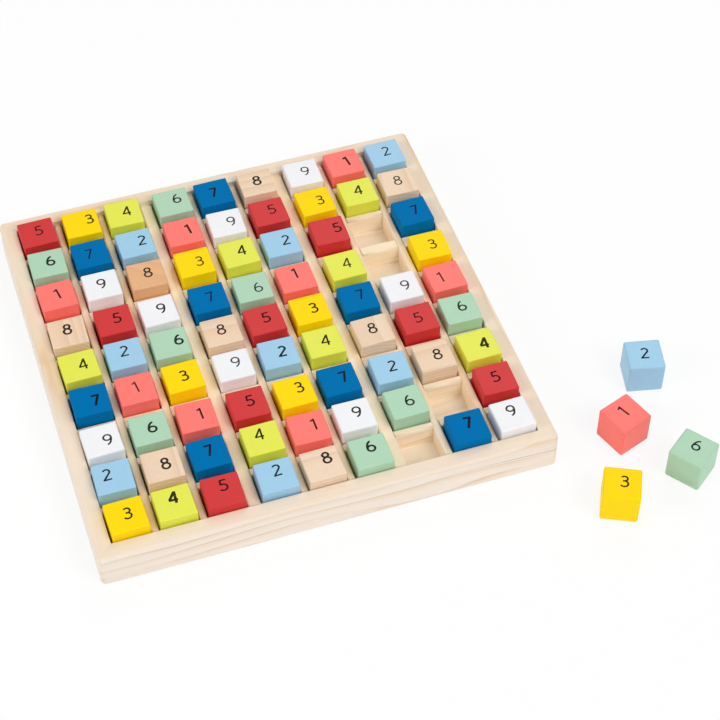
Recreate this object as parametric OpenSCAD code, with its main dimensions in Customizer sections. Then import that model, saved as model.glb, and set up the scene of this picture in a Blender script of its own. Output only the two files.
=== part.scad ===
// Wooden sudoku board: a mitred tray, a half-lapped grid of dividers and painted number cubes.
// Millimetres. The origin is the middle of the tray's footprint on the table, +Z is up,
// +X is to the right along a row of cells and +Y points to the back.

/* [Cubes] */
// Edge of a number cube
cube_edge = 20; // [16:0.5:24]
// Width taken off each cube edge by its easing
cube_ease = 0.8; // [0.3:0.1:1.5]

/* [Cells] */
// Play of a cube in its cell, both sides together
cell_play = 1.5; // [0.8:0.1:2.2]
// Thickness of a divider slat inside a block
slat_t = 4; // [3:0.5:7]
// Thickness of a divider slat between two blocks
block_slat_t = 7; // [5:0.5:12]
// Height of the divider slats above the base panel
slat_h = 12; // [8:0.5:14]
// Width taken off the top edges of a slat by their easing
slat_ease = 1; // [0.3:0.1:1.4]
// Gap between a slat and the notch that it crosses
lap_gap = 0.1; // [0.05:0.05:0.3]

/* [Frame] */
// Thickness of a rail
rail_t = 8.75; // [6:0.25:14]
// Height of a rail
rail_h = 22; // [19:0.5:30]
// Radius of the tray's upright corners
corner_r = 3; // [2:0.5:5]
// Radius that eases the outer long edges of a rail
rail_ease = 1.2; // [0.5:0.1:2]
// Radius that eases the inner top edge of a rail
lip_ease = 0.5; // [0.2:0.1:1]

/* [Base panel] */
// Thickness of the base panel
panel_t = 4; // [3:0.5:6]
// Height of the panel's underside above the table
panel_lift = 3.5; // [2:0.5:5]
// Depth of the groove that holds the panel
groove_d = 3; // [2:0.5:4]
// Gap above the panel and past its edges in the groove
panel_gap = 0.2; // [0.1:0.05:0.5]

/* [Loose cubes] */
// Distance from the tray to the middle of the nearest loose cube
loose_gap = 20.5; // [18:0.5:60]

/* [Hidden] */
$fn = 48;
overcut = 1;
cells = 9;
block = 3;
cell = cube_edge + cell_play;
pitch = cell + slat_t;
block_extra = block_slat_t - slat_t;
inner = cells * cell + (cells - block) * slat_t + (block - 1) * block_slat_t;
outer = inner + 2 * rail_t;
floor_z = panel_lift + panel_t;
lap_z = floor_z + slat_h / 2;

// A cube stands a little off the middle of its cell and a little turned.
seat_shift = 0.22 * cell_play;
seat_turn = 0.8 * cell_play;

// The solved grid, back row first, read from left to right.
solution = [
    "534678912",
    "672195348",
    "198342567",
    "859761423",
    "426853791",
    "713924856",
    "961537284",
    "287419635",
    "345286179"
];

// Cells left empty, as [row, column].
empty_cells = [[2, 7], [3, 7], [7, 7], [8, 6]];

// Loose cubes: digit, then how far right of the nearest one and in front of the tray's front face
// the middle lies, and its turn.
loose_cubes = [
    [2, 46.5, -41.5, -12.5],
    [1, 20, -6.5, 19.5],
    [6, 45, 26.5, -53],
    [3, 0, 36, -25.5]
];

// Paint of each digit from one to nine. The eights are bare wood.
paints = [
    "#fe827a", "#a8d2ec", "#fedd1e",
    "#e2e83c", "#d04044", "#b4d8bc",
    "#0174b6", "#efd2b4", "#f4f4f7"
];
pine = "#f0dfc6";
slat_pine = "#f3e0c2";
panel_wood = "#ecd8b4";

function digit_at(row, col) = ord(solution[row][col]) - ord("0");
function is_empty(row, col) = len([for (at = empty_cells) if (at == [row, col]) at]) > 0;
function block_row(row) = floor(row / block);

// The left blocks and the back middle one hold the cubes that share a node with their like.
function in_set(row, col) = col < block || (block_row(row) == 0 && col < 2 * block);

function cell_pos(i) = (i - (cells - 1) / 2) * pitch + (floor(i / block) - 1) * block_extra;
function slat_width(i) = i % block == block - 1 ? block_slat_t : slat_t;
function slat_pos(i) = cell_pos(i) + (cell + slat_width(i)) / 2;

single_cells = [
    for (row = [0 : cells - 1], col = [0 : cells - 1])
        if (!in_set(row, col) && !is_empty(row, col)) [row, col]
];

function cube_name(at) = str("cube_row", at[0] + 1, "_col", at[1] + 1);
function set_name(digit) = str("cube_set_", digit);
function loose_name(one) = str("loose_cube_", one[0]);

// What a radius takes off a square corner at the origin.
module corner_waste(radius) {
    difference() {
        translate([-overcut, -overcut])
            square(radius + overcut);
        translate([radius, radius])
            circle(radius);
    }
}

// Section of a rail: x runs in from the outer face, y runs up from the table.
module rail_section() {
    difference() {
        square([rail_t, rail_h]);
        corner_waste(rail_ease);
        translate([0, rail_h])
            mirror([0, 1])
                corner_waste(rail_ease);
        translate([rail_t, rail_h])
            rotate(180)
                corner_waste(lip_ease);
        translate([rail_t - groove_d, panel_lift])
            square([groove_d + overcut, panel_t + panel_gap]);
    }
}

// The outer part of that section, which turns round an upright corner.
module corner_section() {
    intersection() {
        translate([corner_r, 0])
            mirror([1, 0])
                rail_section();
        square([corner_r, rail_h]);
    }
}

// Plan of a rail between its mitres, with the rounded corners left off.
module rail_plan() {
    straight = outer / 2 - corner_r;
    polygon([
        [-inner / 2, -inner / 2],
        [inner / 2, -inner / 2],
        [straight, -straight],
        [straight, -outer / 2],
        [-straight, -outer / 2],
        [-straight, -straight]
    ]);
}

// Half of a rounded upright corner, up to the mitre.
module rail_corner() {
    rotate([0, 0, -90])
        rotate_extrude(angle = 45)
            corner_section();
}

// The front rail. The other three are this one turned about the tray's middle.
module rail(turn) {
    corner = outer / 2 - corner_r;
    color(pine)
        rotate([0, 0, turn])
            union() {
                intersection() {
                    translate([-outer / 2, -outer / 2, 0])
                        rotate([90, 0, 90])
                            linear_extrude(outer)
                                rail_section();
                    linear_extrude(rail_h)
                        rail_plan();
                }
                translate([corner, -corner, 0])
                    rail_corner();
                mirror([1, 0, 0])
                    translate([corner, -corner, 0])
                        rail_corner();
            }
}

module front_rail() { rail(0); }
module right_rail() { rail(90); }
module back_rail() { rail(180); }
module left_rail() { rail(270); }

// The panel lies on the lower side of the rails' grooves.
module base_panel() {
    side = inner + 2 * (groove_d - panel_gap);
    color(panel_wood)
        translate([-side / 2, -side / 2, panel_lift])
            cube([side, side, panel_t]);
}

// A plain slat along Y, standing on the panel, with eased top edges.
module slat_blank(width) {
    shoulder = slat_h - slat_ease;
    translate([0, inner / 2, floor_z])
        rotate([90, 0, 0])
            linear_extrude(inner)
                polygon([
                    [-width / 2, 0],
                    [width / 2, 0],
                    [width / 2, shoulder],
                    [width / 2 - slat_ease, slat_h],
                    [slat_ease - width / 2, slat_h],
                    [-width / 2, shoulder]
                ]);
}

// The notches of a slat along Y, one for each slat that crosses it, from bottom to top.
module notches(width, bottom, top) {
    deep = width + 2 * overcut;
    for (i = [0 : cells - 2]) {
        wide = slat_width(i) + 2 * lap_gap;
        translate([-deep / 2, slat_pos(i) - wide / 2, bottom])
            cube([deep, wide, top - bottom]);
    }
}

// Slats from front to back are notched below, so they run through on top.
module column_slat(i) {
    translate([slat_pos(i), 0, 0])
        difference() {
            slat_blank(slat_width(i));
            notches(slat_width(i), floor_z - overcut, lap_z + lap_gap / 2);
        }
}

// Slats from left to right are notched above, to take the ones that run through.
module row_slat(i) {
    rotate([0, 0, 90])
        translate([slat_pos(i), 0, 0])
            difference() {
                slat_blank(slat_width(i));
                notches(slat_width(i), lap_z - lap_gap / 2, floor_z + slat_h + overcut);
            }
}

module divider_slats() {
    color(slat_pine)
        for (i = [0 : cells - 2]) {
            column_slat(i);
            row_slat(i);
        }
}

// A square whose corners are cut off by the easing.
module eased_square() {
    half = cube_edge / 2;
    flat = half - cube_ease;
    polygon([
        [-flat, -half], [flat, -half], [half, -flat], [half, flat],
        [flat, half], [-flat, half], [-half, flat], [-half, -flat]
    ]);
}

module eased_bar() {
    linear_extrude(cube_edge, center = true)
        eased_square();
}

// A number cube standing at the origin, all twelve edges eased.
module number_cube(digit) {
    color(paints[digit - 1])
        translate([0, 0, cube_edge / 2])
            intersection() {
                eased_bar();
                rotate([90, 0, 0])
                    eased_bar();
                rotate([0, 90, 0])
                    eased_bar();
            }
}

// A cube in its cell, shifted and turned within its play.
module seated_cube(row, col) {
    shift_x = seat_shift * sin(97 * row + 151 * col);
    shift_y = seat_shift * sin(61 * row + 223 * col + 40);
    turn = seat_turn * sin(173 * row + 89 * col + 120);
    translate([cell_pos(col) + shift_x, shift_y - cell_pos(row), floor_z])
        rotate([0, 0, turn])
            number_cube(digit_at(row, col));
}

// The cubes of one digit in the blocks that share nodes.
module cube_set(digit) {
    for (row = [0 : cells - 1], col = [0 : cells - 1])
        if (in_set(row, col) && digit_at(row, col) == digit)
            seated_cube(row, col);
}

module loose_cube(one) {
    translate([outer / 2 + loose_gap + one[1], -outer / 2 - one[2], 0])
        rotate([0, 0, one[3]])
            number_cube(one[0]);
}

front_rail();
back_rail();
left_rail();
right_rail();
base_panel();
divider_slats();
for (digit = [1 : cells])
    cube_set(digit);
for (at = single_cells)
    seated_cube(at[0], at[1]);
for (one = loose_cubes)
    loose_cube(one);
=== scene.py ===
import math

import bmesh
import bpy
from mathutils import Matrix, Vector


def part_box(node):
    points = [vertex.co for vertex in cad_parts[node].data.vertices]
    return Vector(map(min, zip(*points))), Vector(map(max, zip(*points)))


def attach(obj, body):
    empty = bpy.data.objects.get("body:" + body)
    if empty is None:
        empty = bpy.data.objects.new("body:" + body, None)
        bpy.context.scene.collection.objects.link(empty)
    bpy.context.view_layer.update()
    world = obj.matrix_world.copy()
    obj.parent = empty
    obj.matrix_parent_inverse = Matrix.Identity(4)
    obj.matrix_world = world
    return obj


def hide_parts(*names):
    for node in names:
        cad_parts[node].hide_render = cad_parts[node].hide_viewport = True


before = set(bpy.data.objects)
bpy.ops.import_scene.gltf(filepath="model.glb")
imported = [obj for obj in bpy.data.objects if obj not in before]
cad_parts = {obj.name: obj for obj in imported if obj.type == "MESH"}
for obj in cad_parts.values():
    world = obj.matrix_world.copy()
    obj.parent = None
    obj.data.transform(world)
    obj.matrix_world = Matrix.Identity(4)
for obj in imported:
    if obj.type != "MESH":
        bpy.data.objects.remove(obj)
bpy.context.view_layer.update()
mm = 0.001
hair = 0.001 * mm  # places closer than this count as one
cutDist = 0.0001 * mm  # how near a cut has to pass a corner to go through it
facing = 0.99  # share of a face's normal along an axis from which it counts as looking that way
print("frame loaded,", len(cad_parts), "nodes")

# Camera: millimetres from the tray's middle on the table
cameraSetup = {
    "place": (-174.8, -692.3, 824.2),
    "aim": (47.6, -21.9, 0.0),
    "lens": 97.0,
}


def makeCamera(setup):
    data = bpy.data.cameras.new("camera")
    data.lens = setup["lens"]
    camera = bpy.data.objects.new("camera", data)
    place = Vector(setup["place"]) * mm
    camera.location = place
    camera.rotation_euler = (Vector(setup["aim"]) * mm - place).to_track_quat("-Z", "Y").to_euler()
    bpy.context.scene.collection.objects.link(camera)
    bpy.context.scene.camera = camera


makeCamera(cameraSetup)
print("camera placed")


# Sizes that several pieces share, in metres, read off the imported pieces
railLow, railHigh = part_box("front_rail")
panelLow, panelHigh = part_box("base_panel")
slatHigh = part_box("divider_slats")[1]
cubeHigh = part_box("cube_row1_col9")[1]
outer = -railLow.y
inner = slatHigh.x
railThick = outer - inner
floorZ = panelHigh.z

cells = 9  # in a row of the board
block = 3  # cells in a row of a block
board = {
    "rows": (
        "534678912", "672195348", "198342567",
        "859761423", "426853791", "713924856",
        "961537284", "287419635", "345286179",
    ),
    "empty": ((2, 7), (3, 7), (7, 7), (8, 6)),
    "slat": 4.0 * mm,  # inside a block
    "blockSlat": 7.0 * mm,  # between two blocks
}
cubeEdge = cubeHigh.z - floorZ
cell = (2 * inner - (cells - block) * board["slat"] - (block - 1) * board["blockSlat"]) / cells
cellPlay = cell - cubeEdge


def slatWidth(i):
    return board["blockSlat"] if i % block == block - 1 else board["slat"]


def cellPos(i):
    blockExtra = board["blockSlat"] - board["slat"]
    return (i - (cells - 1) / 2) * (cell + board["slat"]) + (i // block - 1) * blockExtra


def slatPos(i):
    return cellPos(i) + (cell + slatWidth(i)) / 2


def wave(degrees):
    return math.sin(math.radians(degrees))


# Nodes and colours
def hexColor(code):
    channels = [int(code[k:k + 2], 16) / 255 for k in (1, 3, 5)]
    return [c / 12.92 if c <= 0.04045 else ((c + 0.055) / 1.055) ** 2.4 for c in channels] + [1.0]


def mixHex(low, high, share):
    pairs = [(int(low[k:k + 2], 16), int(high[k:k + 2], 16)) for k in (1, 3, 5)]
    return "#" + "".join(f"{round(a + (b - a) * share):02x}" for a, b in pairs)


def addNode(tree, kind, inputs=None, stops=None, **settings):
    made = tree.nodes.new("ShaderNode" + kind)
    for name, value in settings.items():
        setattr(made, name, value)
    for socket, value in (inputs or {}).items():
        if isinstance(value, bpy.types.NodeSocket):
            tree.links.new(value, made.inputs[socket])
        else:
            made.inputs[socket].default_value = value
    if stops:
        elements = made.color_ramp.elements
        elements[0].position, elements[-1].position = stops[0][0], stops[-1][0]
        for place, code in stops[1:-1]:
            elements.new(place)
        for element, (place, code) in zip(elements, stops):
            element.color = hexColor(code)
    return made


def remap(tree, value, span, levels):
    return addNode(tree, "MapRange", {"Value": value, "From Min": span[0], "From Max": span[1],
                                      "To Min": levels[0], "To Max": levels[1]}).outputs[0]


def newMaterial(name):
    material = bpy.data.materials.new(name)
    material.use_nodes = True
    tree = material.node_tree
    return material, tree, tree.nodes["Principled BSDF"]


# grainPoint is the spot in the log that a piece was cut from, in mm: x runs along the grain,
# y and z lie across it, and the pith is the line y = z = 0
def grainSpot(tree):
    return addNode(tree, "Attribute", attribute_name="grainPoint").outputs["Vector"]


def stretch(tree, point, long, wide):
    return addNode(tree, "Mapping", {"Vector": point, "Scale": (1 / long, 1 / wide, 1 / wide)}).outputs[0]


grainSetup = {
    "sway": (180, 30),  # mm along and across the log over which the rings wander
    "fibreLong": 16,  # mm
    "fibreSpan": (0.3, 0.7),  # where most of the fibres' noise lies
    "bandAtOne": math.pi / 10,  # width of a ring of the Wave texture at a scale of 1
}


def yearRings(tree, point, ring, bend):
    slow = stretch(tree, point, *grainSetup["sway"])
    sway = addNode(tree, "TexNoise", {"Vector": slow, "Scale": 1.0, "Detail": 2.0}).outputs["Color"]
    centred = addNode(tree, "VectorMath", {0: sway, 1: (0.5, 0.5, 0.5)}, operation="SUBTRACT").outputs[0]
    swayed = addNode(tree, "VectorMath", {0: centred, 1: (0, bend, bend), 2: point},
                     operation="MULTIPLY_ADD").outputs[0]
    return addNode(tree, "TexWave", {"Vector": swayed, "Scale": grainSetup["bandAtOne"] / ring,
                                     "Distortion": 0.0},
                   wave_type="RINGS", rings_direction="X", wave_profile="SAW").outputs["Fac"]


def woodFibres(tree, point, fibre):
    thin = stretch(tree, point, grainSetup["fibreLong"], fibre)
    return addNode(tree, "TexNoise", {"Vector": thin, "Scale": 1.0, "Detail": 3.0}).outputs["Fac"]


# Sanded bare pine: pale earlywood, soft tan latewood lines that wander and fade along the rail, no gloss
pineLooks = {
    "ring": 7.5,  # mm from one latewood line to the next
    "bend": 30.0,  # mm that the lines would wander in full swing
    "fibre": 0.8,  # mm; real fibres are finer, drawn so wide that they show
    "fibreShade": (0.97, 1.02),
    "patch": (80, 9),  # mm long and wide, where the lines fade away
    "patchEdge": (0.34, 0.66),
    "rough": (0.66, 0.55),  # from earlywood to latewood
    "gloss": 0.25,
    "relief": (0.2, 0.1 * mm),  # strength, and height of a fibre
    "plain": "#f2e6da",
    "topShade": "#fcf5ea",  # painted shade: multiplied into faces by how far they look up, so tops come out darker and yellower than the sides
    "streak": "#b58558",  # one resin streak, at the right end of the front rail
    "streakPlace": (124, 43.0, 0.05),  # mm along the log, mm up, and its slope
    "streakLong": (25, 62),  # mm from there to where it starts to fade and ends
    "streakWide": (0.1, 0.45),  # mm to either side, in the same way
    "streakStrong": 0.6,
    "stops": ((0.0, "#f4e9df"), (0.45, "#f2e5d6"), (0.78, "#eedac4"), (0.9, "#e6c9a9"), (1.0, "#f4e9df")),
}


def resinStreak(tree, point, looks):
    along, up, slope = looks["streakPlace"]
    moved = addNode(tree, "VectorMath", {0: point, 1: (along, 0, up)}, operation="SUBTRACT").outputs[0]
    parts = addNode(tree, "SeparateXYZ", {0: moved}).outputs
    off = addNode(tree, "Math", {0: parts["X"], 1: slope, 2: parts["Z"]},
                  operation="MULTIPLY_ADD").outputs[0]
    off = addNode(tree, "Math", {0: off}, operation="ABSOLUTE").outputs[0]
    thin = remap(tree, off, looks["streakWide"], (looks["streakStrong"], 0))
    far = addNode(tree, "Math", {0: parts["X"]}, operation="ABSOLUTE").outputs[0]
    near = remap(tree, far, looks["streakLong"], (1, 0))
    return addNode(tree, "Math", {0: thin, 1: near}, operation="MULTIPLY").outputs[0]


def pine(name, looks):
    material, tree, shader = newMaterial(name)
    point = grainSpot(tree)
    rings = yearRings(tree, point, looks["ring"], looks["bend"])
    fibres = woodFibres(tree, point, looks["fibre"])
    lined = addNode(tree, "ValToRGB", {"Fac": rings}, looks["stops"]).outputs["Color"]
    patches = stretch(tree, point, *looks["patch"])
    patch = addNode(tree, "TexNoise", {"Vector": patches, "Scale": 1.0, "Detail": 1.0}).outputs["Fac"]
    fade = remap(tree, patch, looks["patchEdge"], (0, 1))
    tone = addNode(tree, "MixRGB", {"Fac": fade, "Color1": hexColor(looks["plain"]),
                                    "Color2": lined}).outputs[0]
    shade = remap(tree, fibres, grainSetup["fibreSpan"], looks["fibreShade"])
    streaked = addNode(tree, "MixRGB", {"Fac": resinStreak(tree, point, looks), "Color1": tone,
                                        "Color2": hexColor(looks["streak"])}).outputs[0]
    # Painted shade: faces that look up are multiplied by a darker, yellower colour, as if less lit than the
    # sides
    topShade = addNode(tree, "Attribute", attribute_name="topShade").outputs["Fac"]
    topShaded = addNode(tree, "MixRGB", {"Fac": topShade, "Color1": streaked, "Color2": hexColor(looks["topShade"])},
                   blend_type="MULTIPLY").outputs[0]
    colour = addNode(tree, "HueSaturation", {"Color": topShaded, "Value": shade}).outputs[0]
    rough = remap(tree, rings, (0, 1), looks["rough"])
    strength, height = looks["relief"]
    relief = addNode(tree, "Bump", {"Height": fibres, "Strength": strength, "Distance": height}).outputs[0]
    tree.links.new(colour, shader.inputs["Base Color"])
    tree.links.new(rough, shader.inputs["Roughness"])
    tree.links.new(relief, shader.inputs["Normal"])
    shader.inputs["Specular IOR Level"].default_value = looks["gloss"]
    return material


railPine = pine("pineRail", pineLooks)
# The slats get a weaker painted shade on their tops
slatPine = pine("pineSlat", dict(pineLooks, ring=4.5, bend=22.0, plain="#fdecd2", topShade="#fefaf4", stops=(
    (0.0, "#feeed8"), (0.55, "#fce8cc"), (0.85, "#f8dab6"), (0.94, "#f3cca0"), (1.0, "#feeed8"))))
panelPly = pine("poplarPlywood", dict(pineLooks, ring=11.0, bend=50.0, plain="#fbedd6", stops=(
    (0.0, "#fcefda"), (0.6, "#f9e9d0"), (0.9, "#f4ddbc"), (1.0, "#fcefda"))))
print("pine and plywood mixed")


# Pieces
def startBox(size, middle):
    bm = bmesh.new()
    bmesh.ops.create_cube(bm, size=1.0, matrix=Matrix.Translation(middle) @ Matrix.Diagonal((*size, 1.0)))
    return bm


def easeEdges(bm, edges, width, segments):
    made = bmesh.ops.bevel(bm, geom=edges, offset=width, offset_type="OFFSET", affect="EDGES",
                           segments=segments, profile=0.5, material=-1)
    for face in made["faces"]:
        face.smooth = True
    return made["faces"]


def onlyVerts(geom):
    return [g for g in geom if isinstance(g, bmesh.types.BMVert)]


def onlyEdges(geom):
    return [g for g in geom if isinstance(g, bmesh.types.BMEdge)]


def setGrain(bm, toGrain):
    layer = bm.verts.layers.float_vector.new("grainPoint")
    for vert in bm.verts:
        vert[layer] = toGrain @ vert.co


# Painted shade: each face gets a share by how far it looks up, for the pine to darken it with
def setTopShade(bm):
    layer = bm.faces.layers.float.new("topShade")
    bm.normal_update()
    for face in bm.faces:
        face[layer] = max(face.normal.z, 0.0)


# A spot in the log: so far along it, and off its middle by the swing of two angles
def scatterSpot(along, setup, first, second):
    (y, z), (spreadY, spreadZ) = setup["logMiddle"], setup["logSpread"]
    return along, y + spreadY * wave(first), z + spreadZ * wave(second)


def finishPiece(bm, name, materials, body, node):
    mesh = bpy.data.meshes.new(name)
    bm.to_mesh(mesh)
    bm.free()
    for material in materials:
        mesh.materials.append(material)
    piece = bpy.data.objects.new(name, mesh)
    bpy.context.scene.collection.objects.link(piece)
    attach(piece, body)
    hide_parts(node)


# Rails: one board each, eased, grooved for the panel and mitred, then turned to its side
railSetup = {
    "corner": 3.0 * mm,  # radius of the tray's upright corners
    "ease": 1.2 * mm,
    "lip": 0.5 * mm,  # radius of the inner top edge
    "cornerFacets": 6,
    "easeFacets": 4,
    "lipFacets": 2,
    "groove": 3.0 * mm,
    "grooveGap": 0.2 * mm,
    "mitreGap": 0.02 * mm,
    "mitreEase": 0.08 * mm,
    "shownFrom": 0.3,  # share of a face's normal, up or outward, from which its mitre edge shows
    "sides": {  # quarter turns from the front, then where the board lay in the log, in mm
        "front_rail": (0, (0, 21, 30)),
        "right_rail": (1, (400, -9, 38)),
        "back_rail": (2, (900, 16, 33)),
        "left_rail": (3, (1500, -4, 41)),
    },
}


def mitre(bm, side, setup):
    away = Vector((side, 1, 0)).normalized()
    bmesh.ops.bisect_plane(bm, geom=bm.verts[:] + bm.edges[:] + bm.faces[:], dist=cutDist,
                           plane_co=-away * setup["mitreGap"] / 2, plane_no=away, clear_outer=True)
    rim = [edge for edge in bm.edges if edge.is_boundary]
    cap = bmesh.ops.edgeloop_fill(bm, edges=rim)["faces"][0]
    bmesh.ops.recalc_face_normals(bm, faces=bm.faces[:])
    shown = []
    for edge in cap.edges:
        beside = next(face for face in edge.link_faces if face != cap)
        if max(beside.normal.z, -beside.normal.y) > setup["shownFrom"]:
            shown.append(edge)
    easeEdges(bm, shown, setup["mitreEase"], 1)


def railBoard(setup):
    height = railHigh.z
    bm = startBox((2 * outer, railThick, height), (0, -outer + railThick / 2, height / 2))
    upright = [e for e in bm.edges if all(v.co.y < -inner - railThick / 2 for v in e.verts)
               and abs(e.verts[0].co.z - e.verts[1].co.z) > height / 2]
    easeEdges(bm, upright, setup["corner"], setup["cornerFacets"])
    rims = [e for e in bm.edges if abs(e.verts[0].co.z - e.verts[1].co.z) < hair
            and not all(v.co.y > -inner - hair for v in e.verts)]
    easeEdges(bm, rims, setup["ease"], setup["easeFacets"])
    lips = [e for e in bm.edges
            if all(v.co.y > -inner - hair and v.co.z > height - hair for v in e.verts)]
    easeEdges(bm, lips, setup["lip"], setup["lipFacets"])
    bm.faces.ensure_lookup_table()
    for z in (panelLow.z, panelHigh.z + setup["grooveGap"]):
        wall = [f for f in bm.faces if f.normal.y > facing]
        parts = set(wall) | {e for f in wall for e in f.edges} | {v for f in wall for v in f.verts}
        bmesh.ops.bisect_plane(bm, geom=list(parts), dist=cutDist, plane_co=(0, 0, z), plane_no=(0, 0, 1))
    strip = [f for f in bm.faces if f.normal.y > facing
             and panelLow.z < f.calc_center_median().z < panelHigh.z + setup["grooveGap"]]
    deep = bmesh.ops.extrude_face_region(bm, geom=strip)["geom"]
    bmesh.ops.translate(bm, verts=onlyVerts(deep), vec=(0, -setup["groove"], 0))
    bmesh.ops.delete(bm, geom=[f for f in strip if f.is_valid], context="FACES_ONLY")
    mitre(bm, 1, setup)
    mitre(bm, -1, setup)
    return bm


for node, (quarters, logSpot) in railSetup["sides"].items():
    bm = railBoard(railSetup)
    lay = Matrix.Translation(logSpot) @ Matrix.Scale(1 / mm, 4) @ Matrix.Translation((0, inner, 0))
    setGrain(bm, lay)
    setTopShade(bm)
    turned = Matrix.Rotation(math.radians(90 * quarters), 3, "Z")
    bmesh.ops.rotate(bm, cent=(0, 0, 0), matrix=turned, verts=bm.verts[:])
    finishPiece(bm, node.replace("_rail", "Rail"), [railPine], "tray", node)
print("rails mitred")


# Base panel: a plywood sheet in the rails' grooves
panelSetup = {"ease": 0.3 * mm, "facets": 2, "logSpot": (200, 18, 26)}  # logSpot in mm
panelSize = panelHigh - panelLow
bm = startBox(panelSize, (panelLow + panelHigh) / 2)
easeEdges(bm, bm.edges[:], panelSetup["ease"], panelSetup["facets"])
setGrain(bm, Matrix.Translation(panelSetup["logSpot"]) @ Matrix.Scale(1 / mm, 4))
finishPiece(bm, "basePanel", [panelPly], "tray", "base_panel")
print("panel laid")


# Divider slats: half-lapped strips, the ones from front to back run through on top
slatSetup = {
    "lapGap": 0.1 * mm,
    "ease": 1.0 * mm,
    "facets": 3,
    "logStep": 310,  # mm along the log from one pair of slats to the next
    "rowStep": 90,  # and from the column slat of a pair to its row slat
    "logMiddle": (14, 22),  # mm across the log
    "logSpread": (5, 8),
}


def slatStrip(width, notchedBelow, setup):
    low, high = floorZ, slatHigh.z
    lap = (low + high) / 2 + (setup["lapGap"] if notchedBelow else -setup["lapGap"]) / 2
    bm = bmesh.new()
    bmesh.ops.create_grid(bm, x_segments=1, y_segments=1, size=0.5)
    stand = Matrix((
        (0, 0, 1, -width / 2),
        (2 * inner, 0, 0, 0),
        (0, high - low, 0, (low + high) / 2),
        (0, 0, 0, 1),
    ))
    bmesh.ops.transform(bm, matrix=stand, verts=bm.verts[:])
    notches = [(slatPos(i), slatWidth(i) / 2 + setup["lapGap"]) for i in range(cells - 1)]
    cuts = [((0, 0, lap), (0, 0, 1))]
    cuts += [((0, middle + side * half, 0), (0, 1, 0)) for middle, half in notches for side in (-1, 1)]
    for spot, way in cuts:
        bmesh.ops.bisect_plane(bm, geom=bm.verts[:] + bm.edges[:] + bm.faces[:], dist=cutDist,
                               plane_co=spot, plane_no=way)
    gone = []
    for face in bm.faces:
        middle = face.calc_center_median()
        inNotch = any(abs(middle.y - at) < half for at, half in notches)
        if inNotch and (middle.z < lap) == notchedBelow:
            gone.append(face)
    bmesh.ops.delete(bm, geom=gone, context="FACES")
    bmesh.ops.dissolve_limit(bm, angle_limit=0.01, verts=bm.verts[:], edges=bm.edges[:])
    far = bmesh.ops.extrude_face_region(bm, geom=bm.faces[:])["geom"]
    bmesh.ops.translate(bm, verts=onlyVerts(far), vec=(width, 0, 0))
    bmesh.ops.recalc_face_normals(bm, faces=bm.faces[:])
    top = [e for e in bm.edges if all(v.co.z > high - hair for v in e.verts)
           and abs(e.verts[0].co.x - e.verts[1].co.x) < hair]
    easeEdges(bm, top, setup["ease"], setup["facets"])
    return bm


for i in range(cells - 1):
    for way in ("column", "row"):
        bm = slatStrip(slatWidth(i), way == "column", slatSetup)
        alongX = Matrix.Rotation(math.radians(-90), 4, "Z")
        along = slatSetup["logStep"] * i + (slatSetup["rowStep"] if way == "row" else 0)
        logSpot = scatterSpot(along, slatSetup, 77 * i, 131 * i + 30)
        setGrain(bm, Matrix.Translation(logSpot) @ Matrix.Scale(1 / mm, 4) @ alongX)
        setTopShade(bm)
        bmesh.ops.translate(bm, verts=bm.verts[:], vec=(slatPos(i), 0, 0))
        if way == "row":
            quarter = Matrix.Rotation(math.radians(90), 3, "Z")
            bmesh.ops.rotate(bm, cent=(0, 0, 0), matrix=quarter, verts=bm.verts[:])
        finishPiece(bm, f"{way}Slat{i + 1}", [slatPine], "tray", "divider_slats")
print("slats lapped")


# Printed digits: strokes of a plain round pen, as (x, y, heading, moves) in digit heights;
# a move is (length, 0) straight on, or (radius, turn in degrees) round a bend
digitSetup = {
    "height": 7.6 * mm,
    "widen": 1.1,
    "stroke": {"light": 0.112, "plain": 0.127, "bold": 0.152, "heavy": 0.18},
    "bendStep": 12,  # degrees from one facet of a bend to the next
    "joinDist": 0.0001,  # digit heights within which corners are joined
    "strokes": {
        1: ((0.30, 0.0, 90, ((1.0, 0),)), (0.30, 0.93, 205, ((0.24, 0),))),
        2: ((0.064, 0.817, 65, ((0.205, -193), (0.68, 0))), (-0.06, 0.065, 0, ((0.54, 0),))),
        3: ((0.051, 0.838, 60, ((0.195, -240),)), (0.12, 0.545, 0, ((0.1, 0),)),
            (0.215, 0.545, 0, ((0.24, -240),))),
        4: ((0.41, 0.0, 90, ((1.0, 0),)), (-0.03, 0.285, 0, ((0.58, 0),)),
            (0.40, 0.96, 240, ((0.76, 0),))),
        5: ((0.09, 0.935, 0, ((0.38, 0),)), (0.105, 0.97, 265, ((0.45, 0),)),
            (0.051, 0.538, 35, ((0.26, -270),))),
        6: ((0.01, 0.305, 90, ((0.98, -27), (0.33, -50))), (0.49, 0.305, 90, ((0.24, 360),))),
        7: ((-0.01, 0.935, 0, ((0.50, 0),)), (0.435, 0.95, 253, ((0.97, 0),))),
        8: ((0.44, 0.755, 90, ((0.19, 360),)), (0.49, 0.3, 90, ((0.24, 360),))),
    },
}


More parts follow.
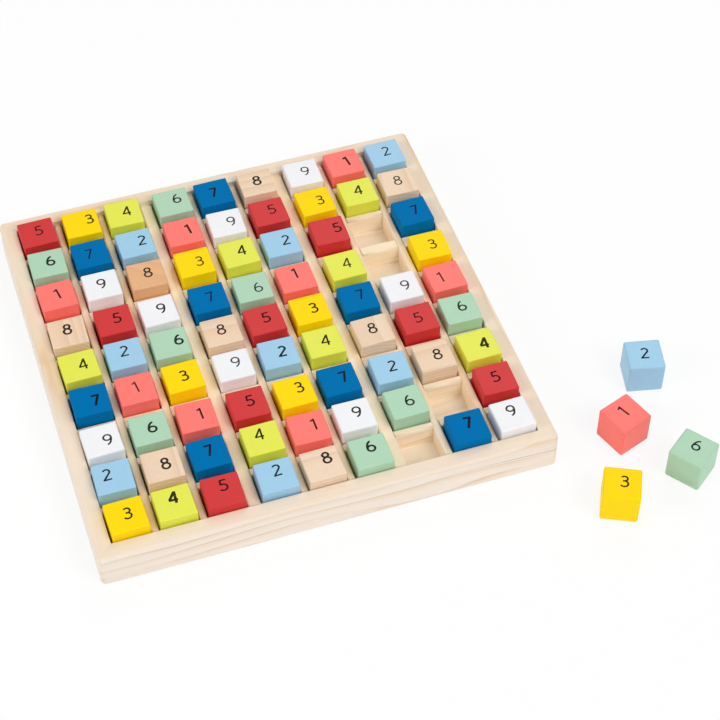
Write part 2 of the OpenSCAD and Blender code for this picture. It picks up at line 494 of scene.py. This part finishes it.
def penStroke(start, width, setup):
    x, y, heading, moves = start
    bm = bmesh.new()
    spot = Vector((x, y, 0))
    ahead = Vector((wave(heading + 90), wave(heading), 0))
    left = Vector((-ahead.y, ahead.x, 0))
    ends = [bm.verts.new(spot + left * width / 2 * side) for side in (1, -1)]
    nib = [*ends, bm.edges.new(ends)]
    for size, turn in moves:
        if turn == 0:
            nib = bmesh.ops.extrude_edge_only(bm, edges=onlyEdges(nib))["geom"]
            bmesh.ops.translate(bm, verts=onlyVerts(nib), vec=ahead * size)
            spot = spot + ahead * size
        else:
            hub = spot + left * math.copysign(size, turn)
            steps = math.ceil(abs(turn) / setup["bendStep"])
            nib = bmesh.ops.spin(bm, geom=nib, cent=hub, axis=(0, 0, 1), angle=math.radians(turn),
                                 steps=steps, use_merge=abs(turn) == 360)["geom_last"]
            around = Matrix.Rotation(math.radians(turn), 3, "Z")
            spot, ahead = hub + around @ (spot - hub), around @ ahead
            left = Vector((-ahead.y, ahead.x, 0))
        nib = onlyVerts(nib) + onlyEdges(nib)
    thick = bmesh.ops.extrude_face_region(bm, geom=bm.faces[:], use_keep_orig=True)["geom"]
    bmesh.ops.translate(bm, verts=onlyVerts(thick), vec=(0, 0, 1))
    bmesh.ops.recalc_face_normals(bm, faces=bm.faces[:])
    mesh = bpy.data.meshes.new("penStroke")
    bm.to_mesh(mesh)
    bm.free()
    stroke = bpy.data.objects.new("penStroke", mesh)
    bpy.context.scene.collection.objects.link(stroke)
    return stroke


def digitFlat(digit, weight, setup):
    drawn = setup["strokes"][6 if digit == 9 else digit]  # a nine is a six turned over
    strokes = [penStroke(start, setup["stroke"][weight], setup) for start in drawn]
    for other in strokes[1:]:
        join = strokes[0].modifiers.new("join", "BOOLEAN")
        join.operation, join.solver, join.object = "UNION", "EXACT", other
    whole = strokes[0].evaluated_get(bpy.context.evaluated_depsgraph_get())
    bm = bmesh.new()
    bm.from_mesh(whole.to_mesh())
    for stroke in strokes:
        bpy.data.objects.remove(stroke)
    bmesh.ops.remove_doubles(bm, verts=bm.verts[:], dist=setup["joinDist"])
    below = [face for face in bm.faces if face.calc_center_median().z < 1 - setup["joinDist"]]
    bmesh.ops.delete(bm, geom=below, context="FACES")
    middle = [(min(v.co[k] for v in bm.verts) + max(v.co[k] for v in bm.verts)) / 2 for k in (0, 1)]
    bmesh.ops.translate(bm, verts=bm.verts[:], vec=(-middle[0], -middle[1], -1))
    if digit == 9:
        bmesh.ops.rotate(bm, cent=(0, 0, 0), matrix=Matrix.Rotation(math.pi, 3, "Z"), verts=bm.verts[:])
    grow = setup["height"]
    bmesh.ops.scale(bm, vec=(grow * setup["widen"], grow, 1), verts=bm.verts[:])
    mesh = bpy.data.meshes.new(f"digit{digit}{weight}")
    bm.to_mesh(mesh)
    bm.free()
    return mesh


digits = {(d, w): digitFlat(d, w, digitSetup) for d in range(1, cells + 1) for w in digitSetup["stroke"]}
print("digits drawn,", sum(len(m.polygons) for m in digits.values()), "faces")


# Cube paints by digit: slot, colour, width of the eased edges and sheen; the eights are bare beech
paintSetup = {
    1: ("coral_paint", "#fe7268", 0.65, 0.5),
    2: ("sky_blue_paint", "#9ac8e4", 0.65, 0.5),
    3: ("yellow_paint", "#feda02", 0.65, 0.1),
    4: ("lime_paint", "#e1e542", 0.65, 0.5),
    5: ("red_paint", "#ce2a2d", 0.65, 0.32),
    6: ("sage_paint", "#aad0b2", 0.65, 0.5),
    7: ("blue_paint", "#0070ae", 0.65, 0.02),
    8: ("bare_beech", "#edd2b6", 0.6, 0.25),
    9: ("white_paint", "#f1f1f4", 1.0, 0.3),
}
bareDigit = 8


# Satin water-based paint on wood: an even coat, a little of the grain under it, a soft sheen
paintLooks = {
    "fibre": 0.9,  # mm; fibres under the coat, drawn so wide that they show
    "cloud": 7.0,  # mm across a patch where the coat is thicker
    "coatSpan": (0.7, 1.3),  # of the fibres' and the patches' noise together
    "coatShade": (0.983, 1.015),
    "rough": 0.45,
    "relief": (0.3, 0.08 * mm),  # strength, and height of a fibre
}


def paint(name, code, sheen, looks):
    material, tree, shader = newMaterial(name)
    point = grainSpot(tree)
    fibres = woodFibres(tree, point, looks["fibre"])
    cloud = addNode(tree, "TexNoise", {"Vector": point, "Scale": 1 / looks["cloud"],
                                       "Detail": 2.0}).outputs["Fac"]
    even = addNode(tree, "Math", {0: fibres, 1: cloud}, operation="ADD").outputs[0]
    shade = remap(tree, even, looks["coatSpan"], looks["coatShade"])
    colour = addNode(tree, "HueSaturation", {"Color": hexColor(code), "Value": shade}).outputs[0]
    strength, height = looks["relief"]
    relief = addNode(tree, "Bump", {"Height": fibres, "Strength": strength, "Distance": height}).outputs[0]
    tree.links.new(colour, shader.inputs["Base Color"])
    tree.links.new(relief, shader.inputs["Normal"])
    shader.inputs["Roughness"].default_value = looks["rough"]
    shader.inputs["Specular IOR Level"].default_value = sheen
    return material


# Sanded bare beech: pinkish tan, close faint rings and short darker flecks; tone turns it browner
beechLooks = {
    "ring": 2.6,  # mm from one faint ring to the next
    "bend": 5.0,  # mm that the rings would wander in full swing
    "fibre": 0.6,  # mm; drawn so wide that the fibres show
    "fleck": (2.6, 0.5),  # mm long and wide
    "brown": "#e4a873",
    "pale": ("#ffffff", 0.08),  # mixed into the earlywood, and how much of it
    "dark": ("#c08c5c", 0.07),  # and into the latewood
    "stops": (0.0, 0.6, 0.92, 1.0),  # from earlywood by the plain wood to latewood and back
    "ringSpan": (0.3, 1.0),
    "ringShade": (1.02, 0.95),
    "fleckSpan": (0.6, 0.75),
    "fleckShade": (1.0, 0.9),
    "rough": 0.58,
    "relief": (0.25, 0.08 * mm),  # strength, and height of a fibre
}


def beech(name, code, sheen, looks):
    material, tree, shader = newMaterial(name)
    point = grainSpot(tree)
    rings = yearRings(tree, point, looks["ring"], looks["bend"])
    fibres = woodFibres(tree, point, looks["fibre"])
    dash = stretch(tree, point, *looks["fleck"])
    flecks = addNode(tree, "TexNoise", {"Vector": dash, "Scale": 1.0, "Detail": 1.0}).outputs["Fac"]
    early, late = mixHex(code, *looks["pale"]), mixHex(code, *looks["dark"])
    stops = list(zip(looks["stops"], (early, code, late, early)))
    lined = addNode(tree, "ValToRGB", {"Fac": rings}, stops).outputs["Color"]
    tone = addNode(tree, "Attribute", attribute_name="tone").outputs["Fac"]
    brown = addNode(tree, "MixRGB", {"Fac": tone, "Color1": lined,
                                     "Color2": hexColor(looks["brown"])}).outputs[0]
    spots = remap(tree, flecks, looks["fleckSpan"], looks["fleckShade"])
    lines = remap(tree, rings, looks["ringSpan"], looks["ringShade"])
    shade = addNode(tree, "Math", {0: spots, 1: lines}, operation="MULTIPLY").outputs[0]
    colour = addNode(tree, "HueSaturation", {"Color": brown, "Value": shade}).outputs[0]
    strength, height = looks["relief"]
    relief = addNode(tree, "Bump", {"Height": fibres, "Strength": strength, "Distance": height}).outputs[0]
    tree.links.new(colour, shader.inputs["Base Color"])
    tree.links.new(relief, shader.inputs["Normal"])
    shader.inputs["Roughness"].default_value = looks["rough"]
    shader.inputs["Specular IOR Level"].default_value = sheen
    return material


# Stamped ink: near black, thin enough for some of the paint to show, patchy where it took badly
inkLooks = {
    "hex": "#141313",
    "strong": 0.985,  # how much of the paint a good print hides
    "faint": 0.95,
    "uneven": 0.04,  # how much less in a patch
    "patch": 1.6,  # mm
    "patchSpan": (0.3, 0.6),
    "rough": 0.5,
    "gloss": 0.05,
}


def ink(name, code, share, looks):
    material, tree, shader = newMaterial(name)
    point = grainSpot(tree)
    patch = addNode(tree, "TexNoise", {"Vector": point, "Scale": 1 / looks["patch"],
                                       "Detail": 2.0}).outputs["Fac"]
    cover = remap(tree, patch, looks["patchSpan"], (share - looks["uneven"], share))
    colour = addNode(tree, "MixRGB", {"Fac": cover, "Color1": hexColor(code),
                                      "Color2": hexColor(looks["hex"])}).outputs[0]
    tree.links.new(colour, shader.inputs["Base Color"])
    shader.inputs["Roughness"].default_value = looks["rough"]
    shader.inputs["Specular IOR Level"].default_value = looks["gloss"]
    return material


coats = {}
for digit, (slotName, code, _, sheen) in paintSetup.items():
    if digit == bareDigit:
        coat = beech("beech", code, sheen, beechLooks)
    else:
        coat = paint(slotName, code, sheen, paintLooks)
    coats[digit] = {}
    for kind in ("strong", "faint"):
        stamp = ink(f"ink_{kind}_on_{slotName}", code, inkLooks[kind], inkLooks)
        coats[digit][kind] = [coat, stamp]
print("paints mixed")


# Number cubes: where each print landed on its cube, in mm right and to the back of the middle
printSetup = {
    "usual": (1.0, 0.8),
    "spread": (1.0, 0.6),
    "astray": {  # prints that landed clearly elsewhere, by (row, column)
        (0, 1): (5, 2), (0, 3): (3, 2), (1, 1): (-1, 0), (1, 2): (4, 1), (1, 3): (3, 1), (1, 4): (3, 0),
        (1, 6): (3, 0), (2, 3): (3, 0), (2, 5): (3, 1), (2, 6): (5, 1), (3, 0): (0, 2), (3, 4): (3, -1),
        (3, 5): (0, 3), (4, 1): (0, 2), (4, 2): (5, 1), (4, 7): (2, 0), (4, 8): (-3, 0), (5, 0): (3, -1),
        (6, 0): (3, -1), (6, 4): (3, 2), (6, 5): (3, 1), (6, 8): (3, 0), (7, 0): (-3, 2), (7, 3): (-1, 3),
        (7, 4): (3, 1), (8, 1): (0, 3), (8, 2): (1, 3), (8, 3): (1, 3), (8, 4): (3, 3), (8, 5): (1, 3),
        (8, 7): (1, 2), (8, 8): (0, 2),
    },
    "heavy": ((5, 0), (6, 8), (8, 1), (8, 7)),
    "bold": ((0, 4), (0, 5), (0, 7), (1, 0), (1, 3), (3, 0), (4, 2), (5, 4), (6, 1), (6, 5), (7, 1), (7, 2),
             (8, 4), (8, 5)),
    "light": ((0, 0), (0, 6), (0, 8), (1, 1), (1, 4), (1, 5), (1, 6), (1, 8), (2, 3), (3, 3), (3, 4),
              (3, 6), (3, 8), (4, 6), (4, 7), (4, 8), (5, 1), (5, 3), (5, 7)),
    "sway": 3.5,  # degrees that a print may lean on its cube
    "lean": {1: 5},  # degrees that every print of a digit leans
    "brown": {(2, 2): (0.8, 35)},  # bare cubes of a browner board, and how far its grain slants
}
looseSetup = {  # loose cube: its turn, its print's shift and the width of its eased edges
    2: (-12.5, (0, 0.5), 1.1),
    1: (19.5, (-0.5, 1.5), 1.1),
    6: (-53.0, (0.5, 2), 1.25),
    3: (-25.5, (1, 1), 1.1),
}
cubeSetup = {
    "facets": 4,  # of an eased edge
    "shift": 0.22,  # share of a cell's play that a cube stands off the middle
    "turn": 0.8,  # degrees that it is turned for each mm of play
    "logStep": 60,  # mm along the log from one cube to the next
    "logMiddle": (9, 12),  # mm across the log
    "logSpread": (5, 6),
    "tone": (0.1, 0.08),  # how brown a bare cube is, and how far that varies
    "firstLoose": 90,  # number of the first loose cube, past those in cells
}
# Ways that a cube was cut from its log; bare cubes show no end grain on top, so they use the first two
grainTurns = (
    Matrix.Identity(4),
    Matrix.Rotation(math.radians(90), 4, "Z"),
    Matrix.Rotation(math.radians(90), 4, "Y"),
)


def usualSpot(row, col, setup):
    (right, back), (spreadRight, spreadBack) = setup["usual"], setup["spread"]
    return (right + spreadRight * wave(113 * row + 67 * col),
            back + spreadBack * wave(59 * row + 139 * col + 80))


def numberCube(digit, weight, shift, lean, ease):
    half = cubeEdge / 2
    bm = startBox((cubeEdge, cubeEdge, cubeEdge), (0, 0, half))
    easeEdges(bm, bm.edges[:], ease, cubeSetup["facets"])
    top = next(f for f in bm.faces if f.normal.z > facing and f.calc_area() > half * half)
    bmesh.ops.delete(bm, geom=[top], context="FACES_ONLY")
    below = set(bm.faces)
    known = set(bm.verts)
    bm.from_mesh(digits[digit, weight])
    seat = Matrix.Translation((shift[0] * mm, shift[1] * mm, cubeEdge))
    seat = seat @ Matrix.Rotation(math.radians(lean), 4, "Z")
    bmesh.ops.transform(bm, matrix=seat, verts=[v for v in bm.verts if v not in known])
    for face in bm.faces:
        if face not in below:
            face.material_index = 1
            face.smooth = False
    rim = [e for e in bm.edges if e.is_boundary]
    filled = bmesh.ops.triangle_fill(bm, use_beauty=True, edges=rim, normal=(0, 0, 1))["geom"]
    for face in filled:
        if isinstance(face, bmesh.types.BMFace):
            face.material_index = 0
            face.smooth = False
    if any(not e.is_manifold for e in bm.edges):
        print("open edges on a cube of digit", digit)
    return bm


def placeCube(name, body, digit, number, spot, turn, weight, shift, lean, ease, tone, slant):
    bm = numberCube(digit, weight, shift, lean, ease * mm)
    logSpot = scatterSpot(cubeSetup["logStep"] * number, cubeSetup, 83 * number, 149 * number)
    ways = 2 if digit == bareDigit else 3
    cut = grainTurns[(2 * number + number // cells) % ways]
    cut = cut @ Matrix.Rotation(math.radians(slant), 4, "Z")
    setGrain(bm, Matrix.Translation(logSpot) @ Matrix.Scale(1 / mm, 4) @ cut)
    if digit == bareDigit:
        layer = bm.faces.layers.float.new("tone")
        for face in bm.faces:
            face[layer] = tone
    bmesh.ops.transform(bm, matrix=Matrix.Translation(spot) @ Matrix.Rotation(math.radians(turn), 4, "Z"),
                        verts=bm.verts[:])
    pair = coats[digit]["faint" if weight == "light" else "strong"]
    finishPiece(bm, name, pair, body, body)


# Each cube's shift and turn are those of its solid; all the angles here only scatter what they swing
for row in range(cells):
    for col in range(cells):
        if (row, col) in board["empty"]:
            continue
        digit = int(board["rows"][row][col])
        shared = col < block or (row < block and col < 2 * block)
        body = f"cube_set_{digit}" if shared else f"cube_row{row + 1}_col{col + 1}"
        play = cubeSetup["shift"] * cellPlay
        spot = (cellPos(col) + play * wave(97 * row + 151 * col),
                play * wave(61 * row + 223 * col + 40) - cellPos(row), floorZ)
        turn = cubeSetup["turn"] * (cellPlay / mm) * wave(173 * row + 89 * col + 120)
        weight = "plain"
        for kind in ("heavy", "bold", "light"):
            if (row, col) in printSetup[kind]:
                weight = kind
        shift = printSetup["astray"].get((row, col), usualSpot(row, col, printSetup))
        lean = printSetup["sway"] * wave(211 * row + 57 * col + 10) + printSetup["lean"].get(digit, 0)
        plainTone = cubeSetup["tone"][0] + cubeSetup["tone"][1] * wave(40 * row + 70 * col)
        tone, slant = printSetup["brown"].get((row, col), (plainTone, 0))
        placeCube(
            f"cubeRow{row + 1}Col{col + 1}", body, digit, number=cells * row + col, spot=spot, turn=turn,
            weight=weight, shift=shift, lean=lean, ease=paintSetup[digit][2], tone=tone, slant=slant)

for number, (digit, (turn, shift, ease)) in enumerate(looseSetup.items()):
    node = f"loose_cube_{digit}"
    low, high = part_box(node)
    spot = ((low.x + high.x) / 2, (low.y + high.y) / 2, low.z)
    lean = printSetup["lean"].get(digit, 0)
    placeCube(
        f"looseCube{digit}", node, digit, number=cubeSetup["firstLoose"] + number, spot=spot, turn=turn,
        weight="plain", shift=shift, lean=lean, ease=ease, tone=cubeSetup["tone"][0], slant=0)
print("cubes set in their cells")


# Floor, light and background
stageSetup = {
    "floorSize": 6.0,
    "floorHex": "#f8f8f8",
    "floorRough": 0.8,
    "floorGloss": 0.2,
    "floorDrop": 0.2 * mm,  # below the table plane, so that no face of a piece lies in it
    "floorWhite": 0.84,  # share of plain white in the floor as the camera sees it
    "white": "#ffffff",
    "dome": 0.48,
    "lamps": {  # place in metres, size in metres, power in watts
        "frontRight": ((1.2, -2.0, 2.4), 1.6, 46.5),
        "backRight": ((0.8, 1.35, 1.8), 1.0, 8.2),
        "left": ((-1.75, -0.3, 1.1), 1.0, 13.0),
    },
}


# 1 where the camera sees a surface, straight on or by way of gloss or glass
def seenRays(tree):
    rays = addNode(tree, "LightPath").outputs
    seen = rays["Is Camera Ray"]
    for kind in ("Is Glossy Ray", "Is Transmission Ray"):
        seen = addNode(tree, "Math", {0: seen, 1: rays[kind]}, operation="MAXIMUM").outputs[0]
    return seen


def makeFloor(setup):
    bm = bmesh.new()
    bmesh.ops.create_grid(bm, x_segments=1, y_segments=1, size=setup["floorSize"] / 2)
    mesh = bpy.data.meshes.new("floor")
    bm.to_mesh(mesh)
    bm.free()
    material, tree, shader = newMaterial("whiteTable")
    shader.inputs["Base Color"].default_value = hexColor(setup["floorHex"])
    shader.inputs["Roughness"].default_value = setup["floorRough"]
    shader.inputs["Specular IOR Level"].default_value = setup["floorGloss"]
    share = addNode(tree, "Math", {0: seenRays(tree), 1: setup["floorWhite"]},
                    operation="MULTIPLY").outputs[0]
    white = addNode(tree, "Emission", {"Color": hexColor(setup["white"]), "Strength": 1.0}).outputs[0]
    both = addNode(tree, "MixShader", {0: share, 1: shader.outputs[0], 2: white}).outputs[0]
    tree.links.new(both, tree.nodes["Material Output"].inputs["Surface"])
    mesh.materials.append(material)
    floor = bpy.data.objects.new("floor", mesh)
    floor.location.z = -setup["floorDrop"]
    bpy.context.scene.collection.objects.link(floor)


def makeWorld(setup):
    world = bpy.data.worlds.new("whiteRoom")
    world.use_nodes = True
    tree = world.node_tree
    level = remap(tree, seenRays(tree), (0, 1), (setup["dome"], 1))
    background = tree.nodes["Background"]
    background.inputs["Color"].default_value = hexColor(setup["white"])
    tree.links.new(level, background.inputs["Strength"])
    bpy.context.scene.world = world


def makeLamps(setup):
    for name, (place, size, power) in setup["lamps"].items():
        data = bpy.data.lights.new(name, "AREA")
        data.shape, data.size, data.energy = "SQUARE", size, power
        lamp = bpy.data.objects.new(name, data)
        lamp.location = place
        lamp.rotation_euler = (-Vector(place)).to_track_quat("-Z", "Y").to_euler()
        bpy.context.scene.collection.objects.link(lamp)


makeFloor(stageSetup)
makeWorld(stageSetup)
makeLamps(stageSetup)
bpy.context.scene.view_settings.view_transform = "Standard"
print("stage lit")
